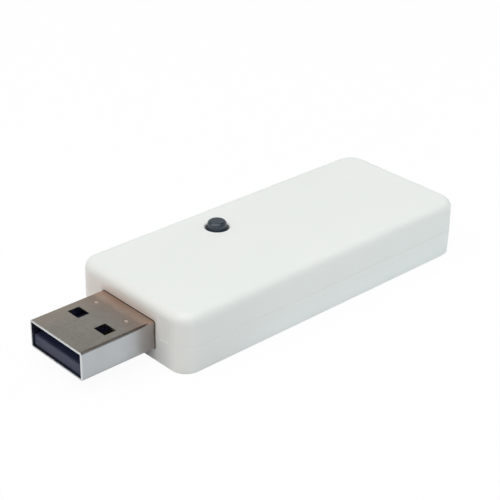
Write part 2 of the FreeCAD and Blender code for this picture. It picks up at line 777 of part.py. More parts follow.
def make_plug_insulator():
    body = new_body("plug_insulator")
    block = new_sketch(body, "block", "YZ", "place.block_x")
    shell_inside(block, "size.insulator_clearance")
    pad(body, "block", block, "place.shell_rear_x - place.block_x")
    tongue = new_sketch(body, "tongue", "YZ", "place.tongue_x")
    half_width = "place.shell_side_y - size.shell_thickness - size.insulator_clearance"
    low = "place.shell_bottom_z + size.shell_thickness + size.insulator_clearance"
    corner = "size.tongue_corner_radius"
    add_outline(tongue, f"-({half_width})", half_width, f"(place.tongue_top_z - ({low})) / 2",
                corner, corner, middle=f"(place.tongue_top_z + {low}) / 2")
    pad(body, "tongue", tongue, "place.block_x - place.tongue_x")
    front = value("place.tongue_x")
    soften(body, "Chamfer", "tongue_edge", "size.tongue_bevel",
           lambda edge: edge.BoundBox.XMax < front + CLOSE)
    contact_slots(body, "power_slot", "place.power_contact_x - size.insulator_clearance",
                  "size.outer_contact_offset")
    contact_slots(body, "data_slot", "place.data_contact_x - size.insulator_clearance",
                  "size.inner_contact_offset")
    return body


def make_contact(name, start, offset):
    """A straight blade along the tongue's top, whose tail lies on the board."""
    body = new_body(name)
    side = new_sketch(body, "side", "XZ", f"-({offset}) + size.contact_width / 2")
    low, high, end = "place.contact_bottom_z", "place.tongue_top_z", "place.contact_end_x"
    add_polygon(side, [(start, low), (end, low), (end, high),
                       (f"{start} + size.contact_bevel", high),
                       (start, f"{high} - size.contact_bevel")])
    pad(body, "blade", side, "size.contact_width", reverse=True)
    return body


# Circuit board

def make_circuit_board():
    body = new_body("circuit_board")
    outline = new_sketch(body, "outline", "XY", "place.board_bottom_z")
    add_outline(outline, "place.board_front_x", "place.board_rear_x", "place.board_side_y",
                "size.board_corner_radius", "size.board_corner_radius")
    pad(body, "blank", outline, "size.board_thickness")
    cuts = new_sketch(body, "cut", "XY", "place.board_top_z")
    add_rectangle(cuts, "place.board_front_x - size.board_notch_gap", "place.board_notch_x",
                  "-place.shell_side_y - size.board_notch_gap",
                  "place.shell_side_y + size.board_notch_gap")
    both_sides(cuts, "place.leg_start_x - size.board_hole_gap",
               "place.leg_end_x + size.board_hole_gap",
               "place.shell_side_y - size.shell_thickness - size.board_hole_gap",
               "place.shell_side_y + size.board_hole_gap")
    for end in ("-", "+"):
        for side in ("-", "+"):
            x = f"(place.button_x {end} place.terminal_leg_run)"
            y = f"(size.button_offset {side} size.terminal_offset)"
            reach_x = "(size.terminal_thickness / 2 + size.board_hole_gap)"
            reach_y = "(size.terminal_width / 2 + size.board_hole_gap)"
            add_rectangle(cuts, f"{x} - {reach_x}", f"{x} + {reach_x}",
                          f"{y} - {reach_y}", f"{y} + {reach_y}")
    pocket(body, "cut", cuts, "size.board_thickness")
    pins = pin_sketch(body, "pin_hole", "place.board_top_z", "size.pin_radius + size.pin_clearance")
    pocket(body, "pin_hole", pins, "size.board_thickness")
    return body


# Tactile switch under the button hole

def around_button(reach):
    """A square about the button's axis, as the four places of its sides."""
    return (f"place.button_x - ({reach})", f"place.button_x + ({reach})",
            f"size.button_offset - ({reach})", f"size.button_offset + ({reach})")


def corner_squares(sketch, reach):
    """A small square over each corner of the switch."""
    for end in ("-", "+"):
        for side in ("-", "+"):
            x = f"(place.button_x {end} size.switch_peg_offset)"
            y = f"(size.button_offset {side} size.switch_peg_offset)"
            add_rectangle(sketch, f"{x} - ({reach})", f"{x} + ({reach})",
                          f"{y} - ({reach})", f"{y} + ({reach})")


def common_strip(sketch, slack):
    """The strip along one side of the switch, with two tabs under the dome's feet."""
    y = "(size.button_offset - size.terminal_offset)"
    near = f"{y} - size.terminal_width / 2 - {slack}"
    far = f"{y} + size.terminal_width / 2 + {slack}"
    tab_end = f"size.button_offset - size.tab_gap + {slack}"
    run = f"(place.terminal_run + {slack})"
    inner = f"(size.tab_offset - size.terminal_width / 2 - {slack})"
    outer = f"(size.tab_offset + size.terminal_width / 2 + {slack})"
    x = "place.button_x"
    add_polygon(sketch, [(f"{x} - {run}", near), (f"{x} + {run}", near), (f"{x} + {run}", far),
                         (f"{x} + {outer}", far), (f"{x} + {outer}", tab_end),
                         (f"{x} + {inner}", tab_end), (f"{x} + {inner}", far),
                         (f"{x} - {inner}", far), (f"{x} - {inner}", tab_end),
                         (f"{x} - {outer}", tab_end), (f"{x} - {outer}", far),
                         (f"{x} - {run}", far)])


def fixed_strip(sketch, slack):
    """The strip along the other side, with one tab that ends under the dome's middle."""
    y = "(size.button_offset + size.terminal_offset)"
    near = f"{y} - size.terminal_width / 2 - {slack}"
    far = f"{y} + size.terminal_width / 2 + {slack}"
    tab_end = f"size.button_offset - size.terminal_width / 2 - {slack}"
    run = f"(place.terminal_run + {slack})"
    half = f"(size.terminal_width / 2 + {slack})"
    x = "place.button_x"
    add_polygon(sketch, [(f"{x} - {run}", far), (f"{x} - {run}", near), (f"{x} - {half}", near),
                         (f"{x} - {half}", tab_end), (f"{x} + {half}", tab_end),
                         (f"{x} + {half}", near), (f"{x} + {run}", near), (f"{x} + {run}", far)])


def make_terminal(name, strip, side):
    """A stamped strip moulded into the switch, with a leg down through the board at each end."""
    body = new_body(name)
    flat = new_sketch(body, "strip", "XY", "place.well_floor_z")
    strip(flat, "0")
    pad(body, "strip", flat, "size.terminal_thickness", reverse=True)
    legs = new_sketch(body, "leg", "XY", "place.well_floor_z")
    y = f"(size.button_offset {side} size.terminal_offset)"
    for end in ("-", "+"):
        near = f"place.button_x {end} (place.terminal_run - size.terminal_thickness)"
        far = f"place.button_x {end} place.terminal_run"
        left, right = (far, near) if end == "-" else (near, far)
        add_rectangle(legs, left, right, f"{y} - size.terminal_width / 2",
                      f"{y} + size.terminal_width / 2")
    pad(body, "leg", legs,
        "place.well_floor_z - place.board_bottom_z + size.terminal_below_board", reverse=True)
    return body


def make_switch_housing():
    body = new_body("switch_housing")
    base = new_sketch(body, "base", "XY", "place.board_top_z")
    add_rectangle(base, *around_button("size.switch_side / 2"))
    pad(body, "base", base, "place.switch_top_z - place.board_top_z")
    soften(body, "Chamfer", "corner", "size.switch_plate_bevel", upright)
    well = new_sketch(body, "well", "XY", "place.switch_top_z")
    add_circle(well, "place.button_x", "size.button_offset", "size.switch_well_diameter / 2")
    pocket(body, "well", well, "place.switch_top_z - place.well_floor_z")
    pegs = new_sketch(body, "peg", "XY", "place.switch_top_z")
    corner_squares(pegs, "size.switch_peg_side / 2")
    pad(body, "peg", pegs, "size.switch_peg_height")
    for name, strip in (("common_slot", common_strip), ("fixed_slot", fixed_strip)):
        slot = new_sketch(body, name, "XY", "place.well_floor_z")
        strip(slot, "size.strip_slack")
        pocket(body, name, slot, "size.terminal_thickness")
    return body


def make_switch_plate():
    body = new_body("switch_plate")
    sheet = new_sketch(body, "sheet", "XY", "place.switch_top_z")
    add_rectangle(sheet, *around_button("size.switch_side / 2"))
    pad(body, "sheet", sheet, "size.switch_plate_thickness")
    soften(body, "Chamfer", "corner", "size.switch_plate_bevel", upright)
    holes = new_sketch(body, "hole", "XY", "place.plate_top_z")
    add_circle(holes, "place.button_x", "size.button_offset",
               "size.button_diameter / 2 + size.stem_clearance")
    corner_squares(holes, "size.switch_peg_side / 2 + size.switch_peg_clearance")
    pocket(body, "hole", holes, "size.switch_plate_thickness")
    return body


def make_switch_dome():
    """A thin sprung cross: two arched strips, whose four feet stand at the switch's corners."""
    body = new_body("switch_dome")
    reach, flat = "size.dome_span / 2", "size.dome_flat / 2"
    heel = f"{reach} - size.dome_foot"
    under = "size.dome_rise - size.dome_thickness"
    for name, plane in (("along", "XZ"), ("across", "YZ")):
        arch = new_sketch(body, name, plane, "-size.dome_arm_width / 2")
        add_polygon(arch, [(f"-{reach}", "0"), (f"-({heel})", "0"), (f"-{flat}", under),
                           (flat, under), (heel, "0"), (reach, "0"),
                           (flat, "size.dome_rise"), (f"-{flat}", "size.dome_rise")])
        pad(body, name, arch, "size.dome_arm_width")
    body.Placement = FreeCAD.Placement(Vector(), FreeCAD.Rotation(Vector(0, 0, 1), 45))
    body.setExpression("Placement.Base.x", "place.button_x")
    body.setExpression("Placement.Base.y", "size.button_offset")
    body.setExpression("Placement.Base.z", "place.well_floor_z")
    return body


def make_switch_button():
    """The plunger: a nub on the dome, a flange in the well and a stem out through the roof."""
    body = new_body("switch_button")
    half = new_sketch(body, "half", "XZ")
    add_polygon(half, [
        ("0", "place.nub_bottom_z"),
        ("size.nub_diameter / 2", "place.nub_bottom_z"),
        ("size.nub_diameter / 2", "place.flange_bottom_z"),
        ("size.flange_diameter / 2", "place.flange_bottom_z"),
        ("size.flange_diameter / 2", "place.flange_top_z"),
        ("size.button_diameter / 2", "place.flange_top_z"),
        ("size.button_diameter / 2", "size.case_height - size.roof_thickness"),
        ("size.button_tip_diameter / 2", "place.button_top_z"),
        ("0", "place.button_top_z")])
    turned = body.newObject("PartDesign::Revolution", "switch_button_turned")
    turned.Profile = half
    turned.ReferenceAxis = (half, ["V_Axis"])
    turned.Angle = 360
    settle(body, turned, 0.0)
    soften(body, "Fillet", "tip", "size.button_edge_radius", at_height("place.button_top_z"))
    body.setExpression("Placement.Base.x", "place.button_x")
    body.setExpression("Placement.Base.y", "size.button_offset")
    return body


# Parts soldered to the board, each drawn about its own middle with its foot at zero

def in_supply(name):
    return f"place.supply_x + size.{name}_along * place.spread"


def in_radio(name):
    return f"place.shield_x + size.{name}_along * place.spread"


def by_antenna(name):
    return f"place.antenna_x + size.{name}_along"


def own_place(name):
    return f"place.{name}_x"


def on_board(body, zone, turned=False):
    """Stand a part on the board at its place along a zone and across from the middle."""
    if turned:
        body.Placement = FreeCAD.Placement(Vector(), FreeCAD.Rotation(Vector(0, 0, 1), 90))
    body.setExpression("Placement.Base.x", zone(body.Name))
    body.setExpression("Placement.Base.y", f"size.{body.Name}_across")
    body.setExpression("Placement.Base.z", "place.board_top_z")
    return body


def add_block(body, name, length, width, height, foot="0"):
    sketch = new_sketch(body, name, "XY", foot)
    add_rectangle(sketch, f"-({length}) / 2", f"({length}) / 2", f"-({width}) / 2", f"({width}) / 2")
    return pad(body, name, sketch, height)


def make_chip(name, kind, zone, turned):
    """A two-ended resistor, capacitor, bead or coil, with wrapped metal ends."""
    body = new_body(name)
    length, width, height = (f"size.{kind}_chip_{side}" for side in ("length", "width", "height"))
    wrap = "size.wrap_thickness"
    add_block(body, "core", f"{length} - 2 * {wrap}", f"{width} - 2 * {wrap}",
              f"{height} - 2 * {wrap}", foot=wrap)
    ends = new_sketch(body, "end", "XY")
    for left, right in ((f"-{length} / 2", f"-{length} / 2 + size.{kind}_chip_end"),
                        (f"{length} / 2 - size.{kind}_chip_end", f"{length} / 2")):
        add_rectangle(ends, left, right, f"-{width} / 2", f"{width} / 2")
    pad(body, "end", ends, height)
    return on_board(body, zone, turned)


def add_leads(body, name, half_width, height, reach, width, pitch, count, sides):
    """Bent leads out of the sides of a package, down to the board and outwards."""
    run = f"({width})"
    start = f"-({pitch}) * {(count - 1) / 2} - {run} / 2"
    sketch = new_sketch(body, name, "YZ", start)
    thickness = "size.lead_thickness"
    knee = f"({half_width} + size.lead_knee)"
    toe = f"({half_width} + {reach})"
    root = f"({half_width} - size.lead_knee)"
    for side in sides:
        add_polygon(sketch, [
            (f"{side}{root}", f"{height} / 2 + {thickness} / 2"),
            (f"{side}{knee}", f"{height} / 2 + {thickness} / 2"),
            (f"{side}{knee}", thickness), (f"{side}{toe}", thickness), (f"{side}{toe}", "0"),
            (f"{side}({knee} - {thickness})", "0"),
            (f"{side}({knee} - {thickness})", f"{height} / 2 - {thickness} / 2"),
            (f"{side}{root}", f"{height} / 2 - {thickness} / 2")])
    lead = pad(body, name, sketch, run)
    if count > 1:
        repeat(body, f"{name}_row", [lead], "X", pitch, count)


def make_package(name, zone, leads, turned=False):
    """A moulded package on bent leads; each row of leads gives its width, pitch, count, sides."""
    body = new_body(name)
    length, width, height = (f"size.{name}_{side}" for side in ("length", "width", "height"))
    add_block(body, "core", length, width, f"{height} - size.package_standoff",
              foot="size.package_standoff")
    for k, (lead_width, pitch, count, sides) in enumerate(leads, start=1):
        add_leads(body, f"lead_{k}", f"{width} / 2", height, f"size.{name}_reach",
                  lead_width, pitch, count, sides)
    return on_board(body, zone, turned)


def make_flat_package(name, zone):
    """A square chip that lies flat on its pads, with a round mark by its first one."""
    body = new_body(name)
    add_block(body, "core", f"size.{name}_side", f"size.{name}_side", f"size.{name}_height")
    mark = new_sketch(body, "mark", "XY", f"size.{name}_height")
    corner = f"-size.{name}_side / 2 + size.mark_setback"
    add_circle(mark, corner, corner, "size.mark_diameter / 2")
    pocket(body, "mark", mark, "size.mark_depth")
    return on_board(body, zone)


def make_crystal():
    """A ceramic tray with a smaller metal lid."""
    body = new_body("crystal")
    add_block(body, "tray", "size.crystal_length", "size.crystal_width", "size.crystal_height / 2")
    add_block(body, "lid", "size.crystal_length - size.crystal_step",
              "size.crystal_width - size.crystal_step", "size.crystal_height")
    return on_board(body, in_radio)


def make_supply_coil():
    """A moulded square coil with bevelled upper edges."""
    body = new_body("supply_coil")
    add_block(body, "core", "size.supply_coil_side", "size.supply_coil_side",
              "size.supply_coil_height")
    soften(body, "Chamfer", "edge", "size.supply_coil_bevel", at_height("size.supply_coil_height"))
    return on_board(body, in_supply)


def make_antenna():
    """A ceramic bar with a plated end at each side of the board."""
    body = new_body("chip_antenna")
    wrap = "size.wrap_thickness"
    add_block(body, "core", f"size.antenna_width - 2 * {wrap}", f"size.antenna_length - 2 * {wrap}",
              f"size.antenna_height - 2 * {wrap}", foot=wrap)
    ends = new_sketch(body, "end", "XY")
    both_sides(ends, "-size.antenna_width / 2", "size.antenna_width / 2",
               "size.antenna_length / 2 - size.antenna_end", "size.antenna_length / 2")
    pad(body, "end", ends, "size.antenna_height")
    body.setExpression("Placement.Base.x", "place.antenna_x")
    body.setExpression("Placement.Base.z", "place.board_top_z")
    return body


def make_shield():
    """A folded sheet can over the radio chips, with vents above and notches along its foot."""
    body = new_body("shield_can")
    add_block(body, "can", "place.shield_run", "size.shield_width", "size.shield_height")
    soften(body, "Fillet", "corner", "size.shield_bend_radius", upright)
    hollow = new_sketch(body, "hollow", "XY")
    inside = "size.shield_bend_radius - size.shield_sheet"
    add_outline(hollow, "-place.shield_run / 2 + size.shield_sheet",
                "place.shield_run / 2 - size.shield_sheet",
                "size.shield_width / 2 - size.shield_sheet", inside, inside)
    pocket(body, "hollow", hollow, "size.shield_height - size.shield_sheet", reverse=True)
    vents = new_sketch(body, "vent", "XY", "size.shield_height")
    vent_pitch = "size.shield_vent_spacing * place.spread"
    x = f"(-{vent_pitch} * {(VENT_COUNT - 1) / 2})"
    half = "size.shield_vent_side / 2"
    for y in ("-size.shield_vent_spacing", "0", "size.shield_vent_spacing"):
        add_rectangle(vents, f"{x} - {half}", f"{x} + {half}", f"{y} - {half}", f"{y} + {half}")
    column = pocket(body, "vent", vents, "size.shield_sheet")
    repeat(body, "vent_grid", [column], "X", vent_pitch, VENT_COUNT)
    notches = new_sketch(body, "notch", "XZ", "size.shield_width / 2 + size.shield_sheet")
    notch_pitch = "size.shield_notch_pitch * place.spread"
    start = f"-{notch_pitch} * {(NOTCH_COUNT - 1) / 2} - size.shield_notch_width / 2"
    add_rectangle(notches, start, f"{start} + size.shield_notch_width",
                  "-size.shield_sheet", "size.shield_notch_height")
    notch = pocket(body, "notch", notches, "size.shield_width + 2 * size.shield_sheet")
    repeat(body, "notch_row", [notch], "X", notch_pitch, NOTCH_COUNT)
    body.setExpression("Placement.Base.x", "place.shield_x")
    body.setExpression("Placement.Base.z", "place.board_top_z")
    return body


def make_board_parts():
    chips = [
        ("input_capacitor", "large", in_supply, True), ("ferrite_bead", "large", in_supply, True),
        ("output_capacitor", "large", in_supply, True),
        ("pull_up_resistor", "small", own_place, True),
        ("data_resistor_minus", "small", in_supply, False),
        ("data_resistor_plus", "small", in_supply, False),
        ("bypass_capacitor_core", "tiny", in_radio, False),
        ("bypass_capacitor_radio", "tiny", in_radio, True),
        ("crystal_capacitor_near", "tiny", in_radio, True),
        ("crystal_capacitor_far", "tiny", in_radio, True),
        ("matching_coil", "tiny", by_antenna, False),
        ("matching_capacitor_near", "tiny", by_antenna, True),
        ("matching_capacitor_far", "tiny", by_antenna, True),
    ]
    parts = [make_chip(*chip) for chip in chips]
    narrow, both = "size.lead_width", ("", "-")
    protector = [(narrow, "size.protector_pitch", PROTECTOR_LEAD_COUNT, both)]
    memory = [(narrow, "size.memory_pitch", MEMORY_LEAD_COUNT, both)]
    regulator = [("size.regulator_lead_width", "size.regulator_pitch", REGULATOR_LEAD_COUNT, ("-",)),
                 ("size.regulator_tab_width", "size.regulator_pitch", 1, ("",))]
    parts.append(make_package("surge_protector", in_supply, protector, turned=True))
    parts.append(make_package("memory_chip", in_radio, memory))
    parts.append(make_package("voltage_regulator", in_supply, regulator, turned=True))
    parts.append(make_flat_package("radio_chip", in_radio))
    parts += [make_crystal(), make_supply_coil(), make_antenna(), make_shield()]
    return parts


# Assembly

def make_all():
    outer, inner = "size.outer_contact_offset", "size.inner_contact_offset"
    power, data = "place.power_contact_x", "place.data_contact_x"
    nodes = [make_top_cover(), make_bottom_cover(), make_plug_shell(), make_plug_insulator()]
    nodes.append(make_contact("power_contact", power, f"-{outer}"))
    nodes.append(make_contact("data_minus_contact", data, f"-{inner}"))
    nodes.append(make_contact("data_plus_contact", data, inner))
    nodes.append(make_contact("ground_contact", power, outer))
    nodes.append(make_circuit_board())
    nodes += [make_switch_housing(), make_switch_plate(), make_switch_dome(), make_switch_button()]
    nodes.append(make_terminal("common_terminal", common_strip, "-"))
    nodes.append(make_terminal("fixed_terminal", fixed_strip, "+"))
    return nodes + make_board_parts()


def check_document():
    for thing in doc.Objects:
        if {"Invalid", "Error"} & set(thing.State):
            raise RuntimeError(f"{thing.Name} did not recompute: {thing.State}")


def write_parts(nodes):
    """Write one STEP file for each node, once all of them are sound."""
    for node in nodes:
        if node.Shape.isNull() or not node.Shape.isValid():
            raise RuntimeError(f"{node.Label} is not a valid solid")
        if len(node.Shape.Solids) != 1:
            raise RuntimeError(f"{node.Label} came out as {len(node.Shape.Solids)} solids")
    os.makedirs("parts", exist_ok=True)
    for node in nodes:
        node.Shape.exportStep(f"parts/{node.Label}.step")
        print(f"{node.Label:26s} {node.Shape.Volume:10.3f} mm3")


finished = make_all()
doc.recompute()
check_document()
write_parts(finished)
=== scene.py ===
import json
import math

import bpy
from mathutils import Matrix, Vector


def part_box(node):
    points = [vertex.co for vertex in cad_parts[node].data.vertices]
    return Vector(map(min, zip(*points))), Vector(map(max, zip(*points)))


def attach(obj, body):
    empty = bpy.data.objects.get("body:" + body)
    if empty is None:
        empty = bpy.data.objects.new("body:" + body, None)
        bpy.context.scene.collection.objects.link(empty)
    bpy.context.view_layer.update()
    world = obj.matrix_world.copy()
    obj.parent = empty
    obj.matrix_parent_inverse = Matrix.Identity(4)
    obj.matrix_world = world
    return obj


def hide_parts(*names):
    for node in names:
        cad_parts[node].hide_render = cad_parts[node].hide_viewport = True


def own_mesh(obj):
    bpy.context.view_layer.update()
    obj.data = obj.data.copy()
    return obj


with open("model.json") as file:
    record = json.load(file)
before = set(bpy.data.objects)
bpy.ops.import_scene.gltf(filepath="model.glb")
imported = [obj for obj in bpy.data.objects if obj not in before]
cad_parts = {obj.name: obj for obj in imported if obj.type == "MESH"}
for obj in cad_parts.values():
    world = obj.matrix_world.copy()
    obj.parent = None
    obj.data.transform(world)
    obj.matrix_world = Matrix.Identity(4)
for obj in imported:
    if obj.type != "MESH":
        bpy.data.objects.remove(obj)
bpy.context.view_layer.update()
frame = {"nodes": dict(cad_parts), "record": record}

# Lengths are in metres. X runs from the plug's tip to the far end, Y across, Z up. Colours are
# linear red, green and blue.

MM = 0.001
WHITE = (1.0, 1.0, 1.0)

# Where the photograph was taken from: the camera's place, its turns in degrees and its focal
# length, which is given for a picture 500 pixels wide

CAMERA_PLACE = Vector((-127.05, -137.23, 108.32)) * MM
CAMERA_YAW = 42.97
CAMERA_PITCH = 28.31
CAMERA_ROLL = 1.01
FOCAL_PIXELS = 1399.4
PICTURE_PIXELS = 500
SENSOR_WIDTH = 36.0
NEAREST_SEEN = 0.01

# Light: a large soft panel above the plug and a small, cooler one low beyond the far end, in an
# even room, over a white table. The table's whiteness is how much of what the camera sees of it
# is plain white, and the rest is its lit surface with the stick's shadow.

KEY_PLACE = (-0.175, 0.0, 0.57)
KEY_SIDE = 0.92
KEY_POWER = 4.3
KEY_COLOUR = (1.0, 0.995, 0.985)
FILL_PLACE = (0.18, -0.1, 0.06)
FILL_SIDE = 0.1
FILL_POWER = 0.045
FILL_COLOUR = (0.8, 0.95, 1.0)
ROOM_BRIGHTNESS = 0.34
FLOOR_COLOUR = (0.88, 0.9, 0.91)
FLOOR_ROUGHNESS = 0.9
FLOOR_SIDE = 3.0
FLOOR_WHITENESS = 0.95

# The room as polished metal shows it: pale walls, and a dark ceiling that begins softly between
# two heights, each the sine of the angle at which it is seen

WALL_GLOW = (0.42, 0.42, 0.41)
CEILING_GLOW = (0.05, 0.038, 0.034)
WALL_TOP = math.sin(math.radians(30))
CEILING_EDGE = math.sin(math.radians(44))

# Places on the stick: the case's end that the plug comes out of, the joint between its covers,
# the plug's tip and broad faces, and the plug's dimples from its tip and its middle

END_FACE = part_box("top_cover")[0].x
PARTING_HEIGHT = 4.4 * MM
PLUG_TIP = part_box("plug_shell")[0].x
PLUG_TOP = 6.65 * MM
PLUG_BOTTOM = 2.15 * MM
DIMPLE_DISTANCE = 9.6 * MM
DIMPLE_OFFSET = 3.45 * MM
DIMPLE_RADIUS = 0.48 * MM

# The board's copper: tracks in square patches, which run along or across the board by each
# patch's random number, and round vias, whose radius is a share of their spacing

TRACK_PITCH = 0.5 * MM
TRACK_PATCH = 4.0 * MM
LENGTHWAYS_ABOVE = 0.55
CROSSWAYS_BELOW = 0.35
VIA_SPACING = 2.3 * MM
VIA_RADIUS = 0.15

# The Mix node has sockets for each kind of value under the same names, so these are the places
# of its factor and two colours, and of the colour that it gives

MIX_INPUTS = (0, 6, 7)
MIX_COLOUR = 2


# Node trees

def opaque(colour):
    """A colour with its alpha. A link stays as it is."""
    return colour if isinstance(colour, bpy.types.NodeSocket) else (*colour, 1.0)


def new_material(name, colour, roughness, metallic=0.0, **sockets):
    """A material whose main shader has these values."""
    material = bpy.data.materials.new(name)
    material.use_nodes = True
    material.diffuse_color = opaque(colour)
    shader = material.node_tree.nodes["Principled BSDF"]
    shader.inputs["Base Color"].default_value = opaque(colour)
    shader.inputs["Roughness"].default_value = roughness
    shader.inputs["Metallic"].default_value = metallic
    for socket, value in sockets.items():
        shader.inputs[socket.replace("_", " ")].default_value = value
    return material


class Nodes:
    """Adds nodes to a tree and joins them."""

    def __init__(self, tree):
        self.tree = tree

    def add(self, kind, **settings):
        node = self.tree.nodes.new(kind)
        for name, value in settings.items():
            setattr(node, name, value)
        return node

    def put(self, value, socket):
        """Give an input a value, or link it to another node's output."""
        if isinstance(value, bpy.types.NodeSocket):
            self.tree.links.new(value, socket)
        else:
            socket.default_value = value

    def fill(self, node, **inputs):
        """Give a node's inputs their values, by their names with _ for a space."""
        for name, value in inputs.items():
            self.put(value, node.inputs[name.replace("_", " ")])
        return node

    def spread(self, value, low, high, to_low=0.0, to_high=1.0):
        """A value's run from low to high, brought smoothly to another run."""
        node = self.add("ShaderNodeMapRange", interpolation_type="SMOOTHSTEP")
        self.fill(node, Value=value, From_Min=low, From_Max=high, To_Min=to_low, To_Max=to_high)
        return node.outputs["Result"]

    def maths(self, operation, first, second=0.0):
        node = self.add("ShaderNodeMath", operation=operation)
        for socket, value in zip(node.inputs, (first, second)):
            self.put(value, socket)
        return node.outputs["Value"]

    def times(self, first, *others):
        """A product of any number of values."""
        for other in others:
            first = self.maths("MULTIPLY", first, other)
        return first

    def mixed(self, factor, first, second):
        """A colour between two, each a colour or a link."""
        node = self.add("ShaderNodeMix", data_type="RGBA")
        for index, value in zip(MIX_INPUTS, (factor, opaque(first), opaque(second))):
            self.put(value, node.inputs[index])
        return node.outputs[MIX_COLOUR]

    def blended(self, factor, first, second):
        """A shader between two."""
        node = self.add("ShaderNodeMixShader")
        for socket, value in zip(node.inputs, (factor, first, second)):
            self.put(value, socket)
        return node.outputs["Shader"]

    def split(self, vector):
        """The X, Y and Z of a vector."""
        node = self.fill(self.add("ShaderNodeSeparateXYZ"), Vector=vector)
        return node.outputs["X"], node.outputs["Y"], node.outputs["Z"]


class Surface(Nodes):
    """Adds nodes to a material and joins them to its main shader."""

    def __init__(self, material):
        super().__init__(material.node_tree)
        self.material = material
        self.shader = self.tree.nodes["Principled BSDF"]
        self.place = self.add("ShaderNodeTexCoord").outputs["Object"]

    def axes(self):
        """The X, Y and Z of the object coordinates."""
        return self.split(self.place)

    def stretched(self, x, y, z):
        """Object coordinates with each axis scaled."""
        node = self.fill(self.add("ShaderNodeMapping"), Vector=self.place, Scale=(x, y, z))
        return node.outputs["Vector"]

    def noise(self, grain, detail=2.0, roughness=0.5, distortion=0.0, coordinates=None):
        """Noise whose main grain is that many metres across."""
        node = self.add("ShaderNodeTexNoise")
        self.fill(node, Vector=coordinates or self.place, Scale=1.0 / grain, Detail=detail,
                  Roughness=roughness, Distortion=distortion)
        return node.outputs["Fac"]

    def mottled(self, noise, colours, low=0.3, high=0.7):
        """A mottle of two colours."""
        return self.mixed(self.spread(noise, low, high), *colours)

    def length(self, first, second):
        """How long a vector with these two parts is."""
        squares = self.maths("ADD", self.times(first, first), self.times(second, second))
        return self.maths("SQRT", squares)

    def bump(self, height, distance, strength=1.0, under=None):
        """A normal from a height between 0 and 1, that many metres deep."""
        node = self.add("ShaderNodeBump")
        self.fill(node, Height=height, Distance=distance, Strength=strength)
        if under is not None:
            self.fill(node, Normal=under)
        return node.outputs["Normal"]

    def finish(self, **links):
        """Link colour, roughness and the like to the shader."""
        self.fill(self.shader, **links)
        return self.material


# Where the case's tints lie, most of them painted shade and light: each function gives 1 where
# one is full and 0 where there is none

def end_face(surface, gone=2 * MM, full=0.5 * MM):
    """The end that the plug comes out of: full up to one distance along the stick, gone from
    another on."""
    return surface.spread(surface.axes()[0], END_FACE + gone, END_FACE + full)


def shaded_end(surface):
    """Painted shade over the whole end face, round to its edges."""
    return end_face(surface, full=0.2 * MM)


def paler_towards_foot(surface):
    """Paler towards the foot: nothing at the joint and near the plug, most at the foot."""
    along, _, up = surface.axes()
    low = surface.spread(up, PARTING_HEIGHT + 0.05 * MM, 1.0 * MM)
    return surface.times(low, surface.spread(along, END_FACE + 2 * MM, END_FACE + 9 * MM))


def side_shade_near_plug(surface):
    """Painted shade on the sides near the plug, not on the top."""
    _, across, up = surface.axes()
    outer = surface.spread(surface.maths("ABSOLUTE", across), 8.5 * MM, 11.5 * MM)
    return surface.times(end_face(surface, 22 * MM, 1 * MM), outer,
                         surface.spread(up, 8.8 * MM, 7.4 * MM))


def warm_end_light(surface):
    """Painted warm light on the end face: most on the button's side, none on top."""
    _, across, up = surface.axes()
    return surface.times(surface.spread(across, -6 * MM, 6 * MM, 0.1, 0.75),
                         end_face(surface, 3 * MM, 0.3 * MM),
                         surface.spread(up, 8.6 * MM, 7.2 * MM))


def shadow_under_plug(surface):
    """Painted shadow at the end face's foot beneath the plug and beside it, not at the corners."""
    _, across, up = surface.axes()
    middle = surface.spread(surface.maths("ABSOLUTE", across), 10.5 * MM, 7.5 * MM)
    return surface.times(surface.spread(up, 4.5 * MM, 1.5 * MM), middle, end_face(surface))


def near_plug(surface, reach, low_share):
    """The end face just above the plug's shell, down to nothing at a distance from it, and to a
    share of that at the level of the shell's underside. It reaches less far beside the shell."""
    narrowing = 2.2
    half_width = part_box("plug_shell")[1].y
    _, across, up = surface.axes()
    beside = surface.maths("SUBTRACT", surface.maths("ABSOLUTE", across), half_width)
    beside = surface.maths("MAXIMUM", surface.times(beside, narrowing), 0.0)
    over = surface.maths("SUBTRACT", up, PLUG_TOP)
    under = surface.maths("SUBTRACT", PLUG_BOTTOM, up)
    level = surface.maths("MAXIMUM", surface.maths("MAXIMUM", over, under), 0.0)
    return surface.times(surface.spread(surface.length(beside, level), reach, 0.0),
                         surface.spread(up, PLUG_BOTTOM, PLUG_TOP, low_share, 1.0),
                         end_face(surface))


def brown_shade_above_plug(surface):
    """Painted shade, browned by light reflected from the plug, along the top of the plug."""
    return near_plug(surface, 1.3 * MM, low_share=0.15)


def plug_shade(surface):
    """The shade all round the plug."""
    return near_plug(surface, 1.2 * MM, low_share=1.0)


def lightened_joint(surface):
    """A narrow band along the joint between the covers, painted lighter against the groove's
    shade.
    """
    height = surface.maths("SUBTRACT", surface.axes()[2], PARTING_HEIGHT)
    return surface.spread(surface.maths("ABSOLUTE", height), 0.12 * MM, 0.05 * MM)


# The case's colours: its two whites, and its tints from the lowest to the uppermost, each with
# where it lies, how strong it is and its colour. Those after the first are painted shade and
# light.

CASE_WHITES = ((0.835, 0.868, 0.846), (0.85, 0.88, 0.86))
CASE_TINTS = (
    (paler_towards_foot, 1.0, (0.885, 0.925, 0.915)),
    (side_shade_near_plug, 0.85, (0.775, 0.795, 0.78)),
    (warm_end_light, 1.0, (0.90, 0.76, 0.68)),
    (brown_shade_above_plug, 0.68, (0.48, 0.33, 0.25)),
    (plug_shade, 0.3, (0.46, 0.50, 0.53)),
    (shaded_end, 0.5, (0.72, 0.69, 0.655)),
    (shadow_under_plug, 0.3, (0.62, 0.66, 0.68)),
    (lightened_joint, 0.3, (0.95, 0.97, 0.96)),
)
